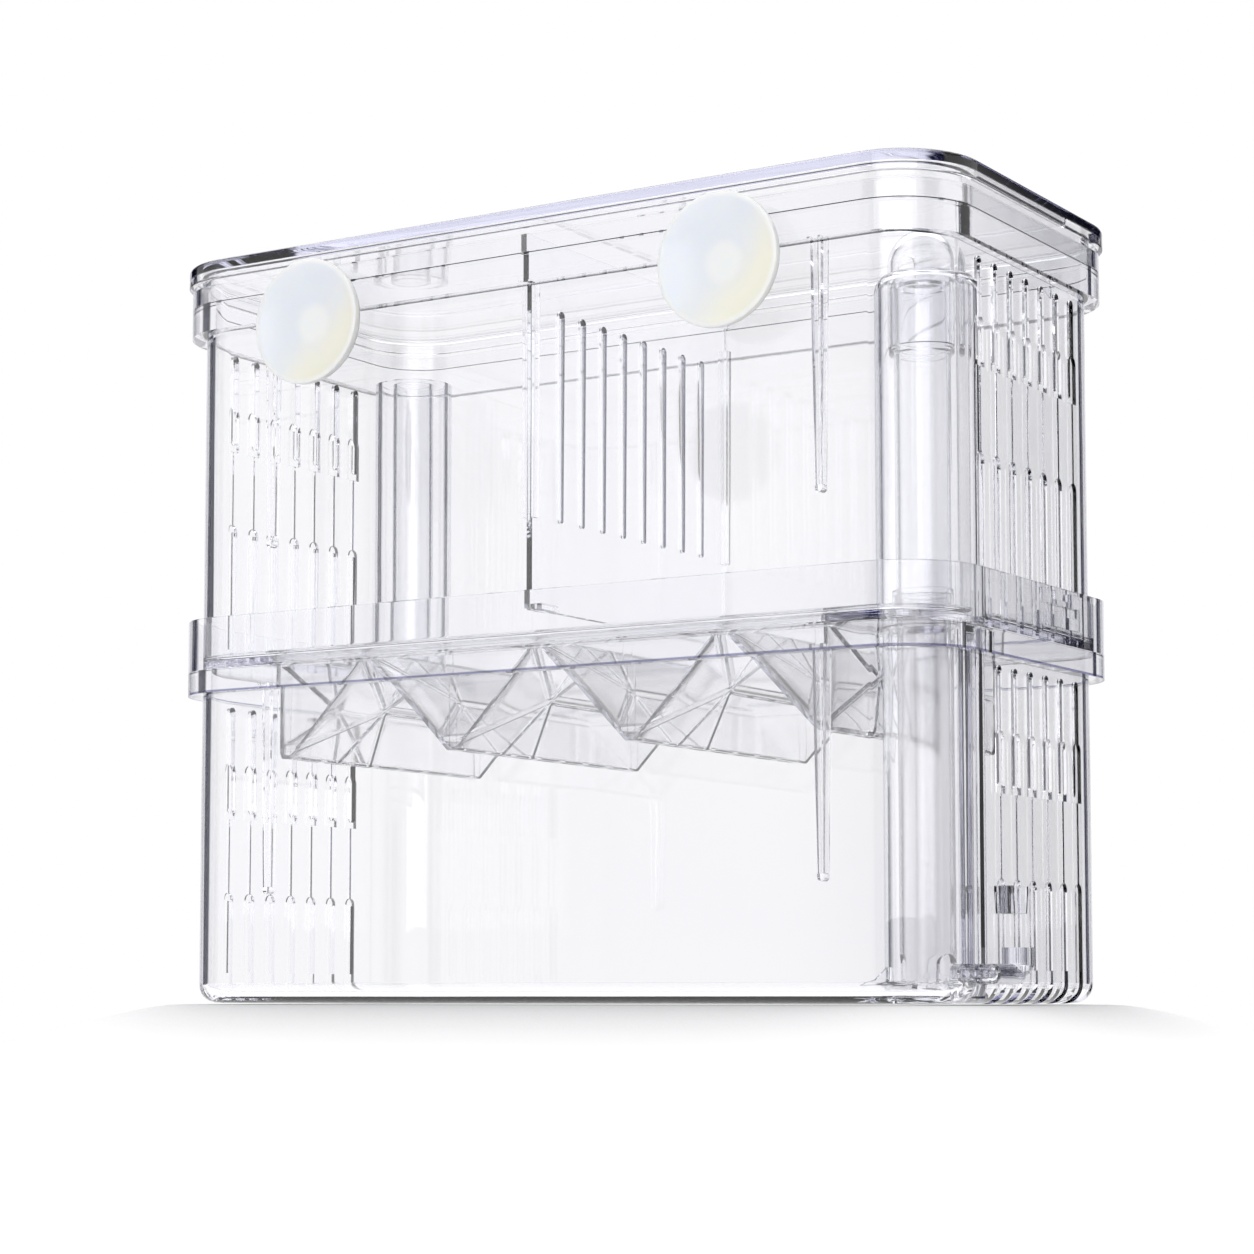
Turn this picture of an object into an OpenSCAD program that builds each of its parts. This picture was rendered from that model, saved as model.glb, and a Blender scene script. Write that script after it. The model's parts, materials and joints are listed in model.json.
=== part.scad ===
// Two-storey fish breeding box for hanging inside an aquarium.
// Origin: centre of the lower tank's footprint, on the plane it stands on. +Z up, X along the length.
// The suction cups are on the front wall (-Y), the riser column is at the front right (+X, -Y).

/* [Tanks] */
// outer length of both tanks, along X
tank_length = 206; // [160:1:260]
// outer width of both tanks, along Y
tank_width = 94; // [80:1:120]
// height at which the upper tank stands on the lower one
lower_height = 81; // [72:1:100]
// height of the upper tank from its base to the ledge under the lid
upper_height = 91; // [80:1:120]
// outer plan radius of the tank corners
corner_radius = 15; // [13:0.5:18]
// thickness of the tank walls
wall = 2; // [1.6:0.1:2.6]
// thickness of the tank floors
floor_thickness = 2.4; // [2:0.1:3]
// radius of the lower tank's outer bottom edge
base_edge = 4.5; // [3.5:0.1:4.6]

/* [Collars] */
// how far both collars stand proud of the walls
collar_proud = 3.6; // [3:0.1:4.2]
// thickness of the upright part of the collars
collar_wall = 2; // [1.6:0.1:2.2]
// height of the lower collar above its ledge
lower_collar_rise = 12.5; // [9:0.5:15]
// depth of the lower collar below its ledge
lower_collar_drop = 5.8; // [4:0.2:8]
// height of the upper rim above its ledge
rim_rise = 3.8; // [3:0.1:4.5]
// depth of the upper rim below its ledge
rim_drop = 7.4; // [6:0.1:8]

/* [Side slots] */
// distance between neighbouring slots
slot_pitch = 8.3; // [7.6:0.1:8.8]
// width of the through slots
slot_width = 2.2; // [1.6:0.1:2.6]
// width of the recess in the middle of each slot
recess_width = 4.4; // [3.6:0.1:5]
// width of the lower grooves
groove_width = 3.4; // [2.6:0.1:4]
// width of the slit in the lower grooves
slit_width = 1.2; // [0.8:0.1:1.6]

/* [Column] */
// distance of the column's axis in front of the tank's middle
column_offset = 24; // [18:0.5:26]
// outer radius of the lower riser tube
riser_radius = 6.5; // [5.5:0.1:7]
// distance of the cap's top below the ledge under the lid
cap_drop = 2; // [1:0.5:8]

/* [Separator and divider] */
// gap between the separator's rim and the column
separator_gap = 1.5; // [1:0.1:4]
// height of the folds between valley and ridge
fold_depth = 25.4; // [18:0.2:30]
// sheet thickness of the separator
sheet = 1.2; // [1:0.1:1.6]
// thickness of the divider plate
plate_thickness = 1.5; // [1.2:0.1:1.7]

/* [Lid] */
// how far the lid's edge stands proud of the walls
lid_proud = 4.5; // [4:0.1:6]
// thickness of the lid's top
lid_top = 2.4; // [2:0.1:3]

/* [Suction cups] */
// radius of the suction cups
cup_radius = 15; // [12:0.5:16]
// distance of each cup from the middle of the front wall
cup_offset = 56.5; // [40:0.5:60]
// distance of the cups' rims in front of the wall
cup_reach = 10; // [9:0.2:14]

/* [Air inlet] */
// bore radius of the hose cup
hose_radius = 2.5; // [2:0.1:2.7]
// depth of the hose cup
hose_depth = 3.8; // [3:0.1:6]

/* [Hidden] */
$fn = 96;
eps = 0.01;
// radial clearance of turning fits
turn_fit = 0.08;
// radial clearance of the socket between the two risers
socket_fit = 0.1;
// radial overlap of pressed seats
press = 0.02;

half_x = tank_length / 2;
half_y = tank_width / 2;
inner_x = half_x - wall;
inner_y = half_y - wall;
flat_x = half_x - corner_radius;
flat_y = half_y - corner_radius;

ledge_z = lower_height;
upper_floor = ledge_z + floor_thickness;
rim_z = ledge_z + upper_height;
lower_top = ledge_z + lower_collar_rise;
rim_top = rim_z + rim_rise;
lower_collar_z = ledge_z - lower_collar_drop;
rim_collar_z = rim_z - rim_drop;
upper_edge = 1.2;
socket_gap = collar_proud - collar_wall;

slot_shift = slot_pitch * 0.3;
slot_margin = 1.4;

guide_depth = 2.2;
guide_gap = plate_thickness + 0.3;
guide_x = half_x - 27.5;

cap_radius = riser_radius + 1.5;
sleeve_radius = cap_radius + 3.1;
sleeve_wall = 1.5;
weld = 0.4;
column_x = inner_x - sleeve_radius + weld;
sleeve_top = rim_z - 12;
lower_sleeve_radius = riser_radius + 3.3;
lower_sleeve_wall = 1.4;
lower_sleeve_top = ledge_z - 0.6;
drain_radius = 10.2;
drain_x = inner_x - drain_radius + weld;
drain_y = inner_y - drain_radius + weld;
drain_top = rim_z - 6.5;
pipe_radius = 5.4;
pipe_bore = 4.4;

riser_wall = 1;
riser_top = ledge_z + 7.4;
upper_riser_radius = riser_radius + 0.15;
upper_riser_top = rim_z - 13.5;
riser_mouth = 4.4;
socket_radius = riser_radius + 1.1;
cap_wall = 1;
cap_z = rim_z - 28.6;
cap_top = rim_z - cap_drop;
stop_gap = 0.1;

separator_half = column_x - sleeve_radius - separator_gap;
opening_x = separator_half - 1.8;
rim_y = inner_y - guide_depth - 0.5;
opening_y = rim_y - 1.8;
tray_x = opening_x - 0.4;
tray_y = opening_y - 0.4;
ridge_z = upper_floor + 0.9;
valley_z = ridge_z - fold_depth;
fold = (tray_x - 1.95) / 1.5;
lip_width = 2.6;

divider_bottom = ledge_z + 9;
divider_top = rim_z + 5;
divider_y = inner_y - 0.6;
skirt_out = socket_gap - 0.3;
skirt_wall = 1.9;
ear_y = half_y + skirt_out - skirt_wall - 0.3;

lid_plate_z = rim_z + 7.6;
lid_z = lid_plate_z + lid_top;
lid_edge_z = rim_z + 5.2;
lid_round = 1.2;

cup_z = rim_collar_z - 3.2;
neck_radius = 2.5;
cup_y = half_y + cup_reach;
dish_back = 5.6;
dish_front = 3.6;

hose_y = 14.1;
hose_x = half_x + 3.6;
bulb_radius = 3.5;
duct_radius = 2.2;
duct_bore = 1.1;
duct_z = 6.4;
duct_y = 26.6;
bulb_z = 9;
clip_z = 19.5;

// sweeps a wall section, drawn outward from the corner's centre, round the whole plan
module sweep_plan() {
  for (turn = [0, 1]) rotate([0, 0, 180 * turn]) {
    translate([flat_x, flat_y, 0]) rotate_extrude(angle = 90) children();
    translate([-flat_x, flat_y, 0]) rotate([0, 0, 90]) rotate_extrude(angle = 90) children();
    translate([flat_x, flat_y, 0]) rotate([90, 0, 0]) linear_extrude(2 * flat_y) children();
    translate([-flat_x, flat_y, 0]) rotate([90, 0, 90]) linear_extrude(2 * flat_x) children();
  }
}

// a box section with a rounded outer bottom corner
module rounded_section(reach, low, high, edge) {
  translate([0, low]) square([reach - edge, high - low]);
  translate([0, low + edge]) square([reach, high - low - edge]);
  translate([reach - edge, low + edge]) intersection() {
    circle(r = edge);
    translate([0, -edge]) square([edge, edge + eps]);
  }
}

// section through wall, floor edge and collar
module tank_section(low, ledge, collar_low, collar_high, edge, inner_edge) {
  difference() {
    union() {
      rounded_section(corner_radius, low, ledge, edge);
      translate([corner_radius - wall, collar_low])
        square([wall + collar_proud, collar_high - collar_low]);
    }
    translate([-1, 0])
      rounded_section(corner_radius - wall + 1, low + floor_thickness, collar_high + 1, inner_edge);
    translate([0, ledge]) square([corner_radius + socket_gap, collar_high]);
  }
}

// slot cutter for one wall, drawn at x = 0 on the wall's outer face
module slot_cut(low, high, narrow, wide, line, wrap) {
  wide_top = high - narrow;
  wide_low = wide_top - wide;
  groove_top = wide_low - line;
  groove_low = low + (wrap ? base_edge : -1);
  deep = 0.9;
  // through slot
  translate([-wall - 1, 0, 0]) rotate([90, 0, 90]) linear_extrude(wall + 2) {
    translate([-slot_width / 2, wide_low + 2.6])
      square([slot_width, high - wide_low - 2.6 - slot_width / 2]);
    translate([0, high - slot_width / 2]) circle(d = slot_width, $fn = 32);
    translate([0, wide_low + 2.6]) circle(d = slot_width, $fn = 32);
  }
  // wider recess over its lower part
  translate([-deep, 0, 0]) rotate([90, 0, 90]) linear_extrude(wall) {
    translate([-recess_width / 2, wide_low]) square([recess_width, wide - recess_width / 2]);
    translate([0, wide_top - recess_width / 2]) circle(d = recess_width, $fn = 32);
  }
  // fine line between recess and groove
  translate([-0.5, -0.4, groove_top - 0.5]) cube([wall, 0.8, line + 1]);
  // groove with a slit
  translate([-deep, 0, 0]) rotate([90, 0, 90]) linear_extrude(wall) {
    translate([-groove_width / 2, groove_low])
      square([groove_width, groove_top - groove_width / 2 - groove_low]);
    translate([0, groove_top - groove_width / 2]) circle(d = groove_width, $fn = 32);
  }
  translate([-wall - 1, -slit_width / 2, low + 7.4]) cube([wall + 2, slit_width, groove_top - low - 9.4]);
  // the groove runs on round the bottom edge
  if (wrap) {
    translate([-base_edge, 0, low + base_edge]) intersection() {
      rotate([90, 0, 0]) difference() {
        cylinder(r = base_edge + 1, h = groove_width, center = true);
        cylinder(r = base_edge - deep, h = groove_width + 2, center = true);
      }
      translate([0, -groove_width, -base_edge - 2])
        cube([base_edge + 2, 2 * groove_width, base_edge + 2 + eps]);
    }
  }
}

// pair of tapered ribs that form a guide, on the back wall (0) and the front wall (1)
module guides(x, low, high, low_gap, walls = [0, 1]) {
  a = guide_gap / 2;
  b = low_gap / 2;
  for (side = walls) mirror([0, side, 0]) translate([x, inner_y + 0.4, 0]) rotate([90, 0, 0]) {
    linear_extrude(guide_depth + 0.4) difference() {
      polygon([[-a - 0.85, high], [a + 0.85, high], [b + 0.5, low], [-b - 0.5, low]]);
      polygon([[-a, high + 1], [a, high + 1], [b, low - 1], [-b, low - 1]]);
    }
    if (low_gap < 1) translate([0, low, 0]) cylinder(r = b + 0.5, h = guide_depth + 0.4, $fn = 32);
  }
}

// round column with a rounded shoulder, drawn as a section
module column_section(radius, low, high, shoulder) {
  square_low = high - shoulder;
  translate([0, low]) square([radius, square_low - low]);
  translate([0, low]) square([radius - shoulder, high - low]);
  intersection() {
    translate([radius - shoulder, square_low]) circle(r = shoulder);
    translate([radius - shoulder, square_low - eps]) square([shoulder, shoulder + eps]);
  }
}

module lower_tank() {
  color([0.86, 0.87, 0.93, 0.35]) difference() {
    union() {
      difference() {
        union() {
          sweep_plan() tank_section(0, ledge_z, lower_collar_z, lower_top, base_edge, 2.5);
          translate([-flat_x, -flat_y, 0]) cube([2 * flat_x, 2 * flat_y, floor_thickness]);
        }
        for (turn = [0, 1], i = [-3:3]) rotate([0, 0, 180 * turn])
          translate([half_x, slot_shift + i * slot_pitch, 0]) {
            if (turn == 1 || i > -3) slot_cut(0, lower_collar_z - slot_margin, 14, 14, 18.5, true);
          }
      }
      for (x = [-guide_x, guide_x]) guides(x, 27, ledge_z - 4, 0.8, [1]);
      // sleeve round the riser, with a web to the wall, a flared foot and an arched intake
      translate([column_x, -column_offset, 0]) {
        translate([0, 0, floor_thickness / 2])
          cylinder(r = lower_sleeve_radius, h = lower_sleeve_top - floor_thickness / 2);
        translate([lower_sleeve_radius - 1, -3.5, floor_thickness])
          cube([wall, 7, lower_sleeve_top - floor_thickness]);
        rotate([0, 0, 225]) translate([lower_sleeve_radius - 1, 0.7, floor_thickness - eps])
          rotate([90, 0, 0]) linear_extrude(1.4) polygon([[0, 0], [6.5, 0], [0, 6.5]]);
      }
      intersection() {
        translate([0, 0, floor_thickness / 2]) linear_extrude(20) {
          square([tank_length - 2, 2 * flat_y], center = true);
          square([2 * flat_x, tank_width - 2], center = true);
          translate([flat_x, -flat_y]) circle(r = corner_radius - 1);
        }
        translate([column_x, -column_offset, 0]) {
          rotate_extrude() difference() {
            square([lower_sleeve_radius + 2.2, floor_thickness + 3]);
            translate([lower_sleeve_radius + 3, floor_thickness + 3]) circle(r = 3);
          }
          rotate([0, 0, -62]) translate([0, 0, floor_thickness]) rotate([0, 90, 0])
            cylinder(r = 4.4, h = lower_sleeve_radius + 3.6);
        }
      }
    }
    // bore of the sleeve, above the floor
    translate([column_x, -column_offset, 0]) {
      difference() {
        translate([0, 0, floor_thickness])
          cylinder(r = lower_sleeve_radius - lower_sleeve_wall, h = lower_height);
        cylinder(r = riser_radius + 1.4, h = floor_thickness + 1.5);
      }
      // seat of the riser
      translate([0, 0, floor_thickness]) cylinder(r = riser_radius - press, h = lower_height);
      rotate([0, 0, -62]) intersection() {
        translate([riser_radius - 1, 0, floor_thickness]) rotate([0, 90, 0]) cylinder(r = 3.2, h = 9);
        translate([0, -5, floor_thickness]) cube([20, 10, 10]);
      }
    }
    // hole for the air duct
    translate([hose_x - 0.3, -duct_y, duct_z]) duct_turn()
      cylinder(r = duct_radius - press, h = 9.5);
  }
}

// turns +Z towards the column's axis, seen from the elbow of the duct
module duct_turn() {
  aim = atan2(duct_y - column_offset, hose_x - 0.3 - column_x);
  rotate([0, 0, 180 - aim]) rotate([0, 90, 0]) children();
}

module lower_riser_tube() {
  color([0.84, 0.86, 0.93, 0.35]) translate([column_x, -column_offset, 0]) difference() {
    translate([0, 0, floor_thickness]) cylinder(r = riser_radius, h = riser_top - floor_thickness);
    translate([0, 0, floor_thickness - 1]) cylinder(r = riser_radius - riser_wall, h = riser_top);
    for (a = [0, 120, 240]) rotate([0, 0, a - 24.4]) {
      translate([2, -2.3, floor_thickness + 1.8]) cube([riser_radius, 4.6, 4.2]);
      translate([2, 0, floor_thickness + 6]) rotate([0, 90, 0])
        cylinder(r = 2.3, h = riser_radius, $fn = 48);
    }
  }
}

module air_nozzle() {
  run = duct_y - hose_y;
  inward = norm([duct_y - column_offset, hose_x - 0.3 - column_x]) - riser_radius - 0.2;
  color([0.86, 0.88, 0.93, 0.45]) difference() {
    union() {
      translate([hose_x - 0.3, -duct_y, duct_z]) {
        sphere(r = duct_radius);
        rotate([-90, 0, 0]) cylinder(r = duct_radius, h = run);
        duct_turn() cylinder(r = duct_radius, h = inward);
      }
      translate([hose_x, -hose_y, bulb_z]) {
        sphere(r = bulb_radius);
        cylinder(r = bulb_radius, h = hose_depth - 0.6);
      }
    }
    translate([hose_x - 0.3, -duct_y, duct_z]) {
      sphere(r = duct_bore);
      rotate([-90, 0, 0]) cylinder(r = duct_bore, h = run);
      duct_turn() cylinder(r = duct_bore, h = inward + 1);
    }
    translate([hose_x, -hose_y, bulb_z - 0.6]) cylinder(r = hose_radius, h = hose_depth + 1);
    translate([hose_x, -hose_y, duct_z]) cylinder(r = duct_bore, h = 4);
  }
}

module hose_clip() {
  arm = hose_radius + 0.15;
  color([0.86, 0.88, 0.93, 0.45]) translate([half_x, -hose_y, clip_z]) {
    translate([0, -arm - 0.3, 0]) cube([0.9, 2 * arm + 0.6, 6]);
    translate([0, -arm - 1.55, 4.6]) cube([0.9, 2 * arm + 3.1, 1.4]);
    // tongue in the slit of the groove
    translate([-wall + 0.3, -slit_width / 2, 0.5]) cube([wall, slit_width, 3]);
    // two arms that hold the hose between them
    for (side = [0, 1]) mirror([0, side, 0]) translate([0, arm, 0]) rotate([90, 0, 90])
      linear_extrude(4.4) polygon([[0, 0], [0.7, 0], [1.55, 4.6], [1.55, 6], [0.65, 6], [0.65, 4.6]]);
  }
}

module upper_tank() {
  color([0.87, 0.88, 0.93, 0.35]) difference() {
    union() {
      difference() {
        union() {
          sweep_plan() tank_section(ledge_z, rim_z, rim_collar_z, rim_top, upper_edge, 1.6);
          translate([-flat_x, -flat_y, ledge_z]) cube([2 * flat_x, 2 * flat_y, floor_thickness]);
        }
        for (turn = [0, 1], i = [-3:3]) rotate([0, 0, 180 * turn])
          translate([half_x, slot_shift + i * slot_pitch, 0])
            slot_cut(ledge_z, rim_collar_z - slot_margin, 13, 11.4, 18.7, false);
      }
      for (x = [-guide_x, guide_x]) guides(x, ledge_z + 30, rim_z - 6, 0.8, [1]);
      guides(0, ledge_z + 30, rim_z - 6, guide_gap);
      translate([column_x, -column_offset, 0]) rotate_extrude()
        column_section(sleeve_radius, ledge_z, sleeve_top, 4);
      translate([-drain_x, drain_y, ledge_z]) cylinder(r = drain_radius, h = drain_top - ledge_z);
      // locating frame low on the right-hand wall, inside the collar's gap
      translate([half_x - 0.5, 3.5, ledge_z + 2]) difference() {
        cube([1.7, 22, 10]);
        translate([-1, 1.6, 1.8]) cube([4, 18.8, 5]);
        translate([-1, 7, 8]) cube([4, 8, 4]);
      }
      // small gusset under the rim
      translate([half_x - 0.5, 16.5, rim_collar_z + eps]) rotate([0, 90, 90])
        linear_extrude(1.2) polygon([[0, 0], [5, 0], [0, 3.6]]);
    }
    // bore of the sleeve and its top hole
    translate([column_x, -column_offset, 0]) {
      rotate_extrude()
        column_section(sleeve_radius - sleeve_wall, upper_floor, sleeve_top - sleeve_wall, 2.5);
      translate([0, 0, upper_floor]) cylinder(r = cap_radius + turn_fit, h = upper_height);
      translate([0, 0, ledge_z - 1]) cylinder(r = socket_radius - press, h = 10);
    }
    // the corner column is open at the top, round a pipe that passes through the floor
    translate([-drain_x, drain_y, 0]) {
      translate([0, 0, upper_floor]) difference() {
        cylinder(r = drain_radius - 1.7, h = drain_top - upper_floor + 1);
        translate([0, 0, -1]) cylinder(r = pipe_radius, h = drain_top - upper_floor + 3);
      }
      translate([0, 0, ledge_z - 1]) cylinder(r = pipe_bore, h = upper_height);
    }
    // floor opening for the separator
    translate([-opening_x, -opening_y, ledge_z - 1])
      cube([2 * opening_x, 2 * opening_y, floor_thickness + 2]);
    // holes for the necks of the suction cups
    for (x = [-cup_offset, cup_offset]) {
      translate([x, -inner_y + 1, cup_z]) rotate([90, 0, 0])
        cylinder(r = neck_radius + turn_fit, h = wall + 2);
    }
  }
}

module upper_riser_tube() {
  color([0.84, 0.86, 0.93, 0.35]) translate([column_x, -column_offset, 0]) difference() {
    union() {
      translate([0, 0, ledge_z + 0.2]) cylinder(r = socket_radius, h = 8.4);
      rotate_extrude() column_section(upper_riser_radius, ledge_z + 1, upper_riser_top, 1.8);
      translate([0, 0, cap_z - stop_gap - 1.4]) cylinder(r = cap_radius - 0.2, h = 1.4);
    }
    translate([0, 0, ledge_z - 1]) cylinder(r = riser_radius + socket_fit, h = 8.5);
    translate([0, 0, ledge_z])
      cylinder(r = upper_riser_radius - riser_wall, h = upper_riser_top - 2 - ledge_z);
    translate([0, 0, ledge_z]) cylinder(r = riser_mouth, h = upper_height);
  }
}

module outlet_cap() {
  color([0.84, 0.86, 0.94, 0.4]) translate([column_x, -column_offset, 0]) difference() {
    union() {
      translate([0, 0, cap_z]) cylinder(r = cap_radius, h = cap_top - cap_radius - cap_z);
      translate([0, 0, cap_top - cap_radius]) sphere(r = cap_radius);
    }
    translate([0, 0, cap_z - 1])
      cylinder(r = cap_radius - cap_wall, h = cap_top - cap_radius - cap_z + 1);
    translate([0, 0, cap_top - cap_radius]) sphere(r = cap_radius - cap_wall);
    // outlet port
    rotate([0, 0, 150]) translate([0, 0, cap_top - cap_radius + 1.4]) rotate([0, 90, 0])
      cylinder(r = 2.7, h = cap_radius + 2);
  }
}

// folded sheet, drawn in the X-Z plane
module fold_outline() {
  lip = lip_width / 2;
  ridge = ridge_z - 1.6;
  polygon([
    [-tray_x, ridge_z], [-tray_x, valley_z + 1.5],
    [-fold * 1.5 - lip, valley_z], [-fold * 1.5 + lip, valley_z], [-fold, ridge],
    [-fold / 2 - lip, valley_z], [-fold / 2 + lip, valley_z], [0, ridge],
    [fold / 2 - lip, valley_z], [fold / 2 + lip, valley_z], [fold, ridge],
    [fold * 1.5 - lip, valley_z], [fold * 1.5 + lip, valley_z],
    [tray_x, valley_z + 1.5], [tray_x, ridge_z]
  ]);
}

// hollow above the folded sheet
module fold_hollow() {
  slope = fold_depth / (fold / 2);
  lip = lip_width / 2 - 0.5;
  low = valley_z + sheet;
  ridge = ridge_z - 1.6 + sheet * sqrt(1 + slope * slope);
  polygon([
    [-tray_x + sheet, ridge_z + 9], [-tray_x + sheet, low + 1.5],
    [-fold * 1.5 - lip, low], [-fold * 1.5 + lip, low], [-fold, ridge],
    [-fold / 2 - lip, low], [-fold / 2 + lip, low], [0, ridge],
    [fold / 2 - lip, low], [fold / 2 + lip, low], [fold, ridge],
    [fold * 1.5 - lip, low], [fold * 1.5 + lip, low],
    [tray_x - sheet, low + 1.5], [tray_x - sheet, ridge_z + 9]
  ]);
}

module fry_separator() {
  color([0.9, 0.9, 0.93, 0.5]) difference() {
    union() {
      translate([0, tray_y, 0]) rotate([90, 0, 0]) linear_extrude(2 * tray_y) fold_outline();
      translate([-separator_half, -rim_y, upper_floor]) cube([2 * separator_half, 2 * rim_y, 1.4]);
      for (side = [0, 1]) mirror([side, 0, 0])
        translate([tray_x - sheet, -tray_y, upper_floor]) cube([sheet, 2 * tray_y, 3.6]);
    }
    translate([0, tray_y - sheet, 0]) rotate([90, 0, 0]) linear_extrude(2 * (tray_y - sheet)) fold_hollow();
    // slits along the valleys
    for (i = [-1.5, -0.5, 0.5, 1.5], j = [-3:3]) {
      translate([i * fold - slit_width / 2, j * 10.6 - 4, valley_z - 1]) cube([slit_width, 8, 4]);
    }
  }
}

module divider_plate() {
  slot_high = divider_top - 17;
  slot_low = divider_bottom + 22;
  color([0.87, 0.88, 0.94, 0.4]) difference() {
    union() {
      translate([-plate_thickness / 2, -divider_y, divider_bottom])
        cube([plate_thickness, 2 * divider_y, divider_top - divider_bottom]);
      translate([-plate_thickness / 2, -ear_y, rim_z])
        cube([plate_thickness, 2 * ear_y, divider_top - rim_z]);
      translate([-2, -divider_y + 3, divider_bottom]) cube([4, 7, 1.4]);
    }
    for (i = [-3.5:3.5]) translate([-plate_thickness, i * 9.17, 0]) rotate([90, 0, 90])
      linear_extrude(2 * plate_thickness) {
        polygon([[-1.25, slot_high], [1.25, slot_high], [0.75, slot_low], [-0.75, slot_low]]);
        translate([0, slot_high]) circle(r = 1.25, $fn = 32);
        translate([0, slot_low]) circle(r = 0.75, $fn = 32);
      }
  }
}

module lid_section() {
  difference() {
    union() {
      translate([0, lid_plate_z]) square([corner_radius + lid_proud - lid_round, lid_top]);
      translate([0, lid_edge_z]) square([corner_radius + lid_proud, lid_z - lid_edge_z - lid_round]);
      translate([corner_radius + lid_proud - lid_round, lid_z - lid_round]) circle(r = lid_round);
      translate([corner_radius + skirt_out - skirt_wall, rim_z])
        square([skirt_wall, lid_plate_z - rim_z + eps]);
    }
    translate([-1, lid_edge_z - 1])
      square([corner_radius + skirt_out - skirt_wall + 1, lid_plate_z - lid_edge_z + 1]);
    translate([corner_radius + skirt_out, lid_edge_z - 1])
      square([lid_proud - skirt_out - 1.5, lid_plate_z - lid_edge_z + 1]);
  }
}

module lid() {
  color([0.86, 0.87, 0.95, 0.4]) difference() {
    union() {
      sweep_plan() lid_section();
      translate([-flat_x, -flat_y, lid_plate_z]) cube([2 * flat_x, 2 * flat_y, lid_top]);
    }
    // finger recess in the right-hand edge
    translate([half_x + lid_proud - 1.6, 15, lid_edge_z - 1]) cube([3, 16, 3.2]);
  }
}

// silicone cup, drawn with its axis on Z: rim at 0, neck upward
module suction_cup() {
  crown = 1.8;
  back = (cup_radius * cup_radius + crown * crown) / (2 * crown);
  front = (pow(cup_radius - 0.8, 2) + dish_front * dish_front) / (2 * dish_front);
  color([0.93, 0.93, 0.9, 0.85]) difference() {
    union() {
      // thick disc with a rounded shoulder and a slightly domed back
      rotate_extrude() intersection() {
        column_section(cup_radius, 0, dish_back + 1, 2.6 + crown);
        translate([0, dish_back - back]) circle(r = back);
        square([cup_radius, dish_back]);
      }
      translate([0, 0, dish_back - 0.8])
        cylinder(r = neck_radius, h = cup_reach + wall + 1.4 - dish_back);
      translate([0, 0, dish_back - 0.8]) cylinder(r = 3.05, h = cup_reach + 0.7 - dish_back);
      translate([0, 0, cup_reach + wall + 0.1]) cylinder(r = 4.2, h = 1.9);
    }
    translate([0, 0, dish_front - front]) sphere(r = front);
  }
}

module suction_cup_left() {
  translate([-cup_offset, -cup_y, cup_z]) rotate([-90, 0, 0]) suction_cup();
}

module suction_cup_right() {
  translate([cup_offset, -cup_y, cup_z]) rotate([-90, 0, 0]) suction_cup();
}

lower_tank();
lower_riser_tube();
air_nozzle();
hose_clip();
upper_tank();
upper_riser_tube();
outlet_cap();
fry_separator();
divider_plate();
lid();
suction_cup_left();
suction_cup_right();
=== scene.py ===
"""Two-storey fish breeding box: clear moulded tanks, lid, divider, folded fry separator, risers and silicone cups.

Everything is in metres in the frame's own axes: +Z up, X along the length, the suction cups toward -Y.
Pieces that are plain mouldings are merged copies of the frame's nodes with eased edges.
Pieces with flowing shapes (lid, separator, upper riser, cups) are worked out here from their frame boxes.
"""
import json
import math

import bmesh
import bpy
import numpy as np
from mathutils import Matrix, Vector


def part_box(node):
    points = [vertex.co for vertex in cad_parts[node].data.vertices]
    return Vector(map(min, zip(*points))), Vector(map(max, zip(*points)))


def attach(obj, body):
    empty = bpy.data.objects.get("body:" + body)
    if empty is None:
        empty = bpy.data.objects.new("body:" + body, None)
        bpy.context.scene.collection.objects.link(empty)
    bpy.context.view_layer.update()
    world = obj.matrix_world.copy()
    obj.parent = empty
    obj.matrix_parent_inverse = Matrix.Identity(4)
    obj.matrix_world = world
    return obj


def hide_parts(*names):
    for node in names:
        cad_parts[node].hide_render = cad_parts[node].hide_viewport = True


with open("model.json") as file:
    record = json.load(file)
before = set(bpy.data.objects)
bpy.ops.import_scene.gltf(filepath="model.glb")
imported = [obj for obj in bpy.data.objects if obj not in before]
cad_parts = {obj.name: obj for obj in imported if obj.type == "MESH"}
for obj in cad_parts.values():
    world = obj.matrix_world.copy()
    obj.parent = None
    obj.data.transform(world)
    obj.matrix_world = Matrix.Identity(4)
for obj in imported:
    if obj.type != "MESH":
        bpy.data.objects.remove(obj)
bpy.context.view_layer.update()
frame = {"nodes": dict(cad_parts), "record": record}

MM = 0.001
BODY_OF = {node: body for body, nodes in frame["record"]["behaviour"]["bodies"].items() for node in nodes}
SLOT_OF = {part["node"]: part["material_slot"] for part in frame["record"]["subparts"]}

# both tanks' plan: a flat middle of these half sizes, inside corners of this radius
FLAT_X, FLAT_Y = 88 * MM, 32 * MM
CORNER = 15 * MM
# how far the outer faces of the collars and of the lid's lip stand outside the walls
COLLAR_PROUD, LID_PROUD = 3.6 * MM, 4.5 * MM
# where the lower collar ends below its ledge
COLLAR_FOOT = 75.2 * MM

# the camera that sees the box as the photograph does
CAMERA_PLACE = (376.7 * MM, -605.0 * MM, 2.0 * MM)
CAMERA_AZIMUTH = 32.04
CAMERA_TILT = 5.0
CAMERA_LENS = 85.3
CAMERA_RISE = 0.0860


# ---- colour and node helpers


def paint(code, alpha=1.0):
    """Turns an sRGB hex colour into the linear values that the shaders take."""
    srgb = np.array([int(code[i : i + 2], 16) for i in (1, 3, 5)]) / 255
    linear = np.where(srgb <= 0.04045, srgb / 12.92, ((srgb + 0.055) / 1.055) ** 2.4)
    return (*linear.tolist(), alpha)


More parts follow.
